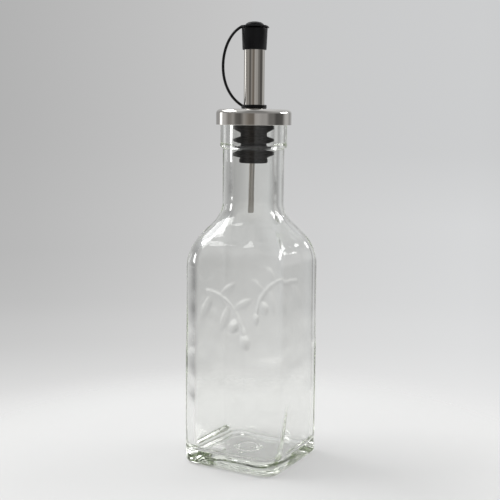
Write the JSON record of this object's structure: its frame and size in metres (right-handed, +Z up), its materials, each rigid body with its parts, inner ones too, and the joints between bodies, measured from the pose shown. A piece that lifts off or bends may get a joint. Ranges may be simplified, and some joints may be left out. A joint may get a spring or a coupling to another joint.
{
  "type": "glass oil dispenser",
  "caption": "Square clear glass bottle with a round neck, finned rubber stopper, steel collar and pouring spout, and a tethered rubber cap.",
  "frame": {"origin": "middle of the resting base, on the surface the bottle stands on", "axes": "+Z up along the neck; the four faces look along +X, -X, +Y and -Y; the sprig seen in front is on the -Y face, and the strap bows out towards -X and -Y"},
  "size_m": [0.052, 0.0536, 0.2142],
  "materials": {
    "clear_glass": "clear soda-lime glass with a faint grey-green tint, fire-polished",
    "stopper_rubber": "matt black rubber",
    "cap_rubber": "smooth black rubber with a low gloss",
    "collar_steel": "polished stainless steel",
    "tube_steel": "polished drawn stainless steel tube"
  },
  "bodies": {
    "root": {"bottle": "clear_glass", "stopper": "stopper_rubber", "collar": "collar_steel", "spout_tube": "tube_steel", "air_tube": "tube_steel", "spout_cap": "cap_rubber", "tether": "cap_rubber"}
  },
  "joints": []
}
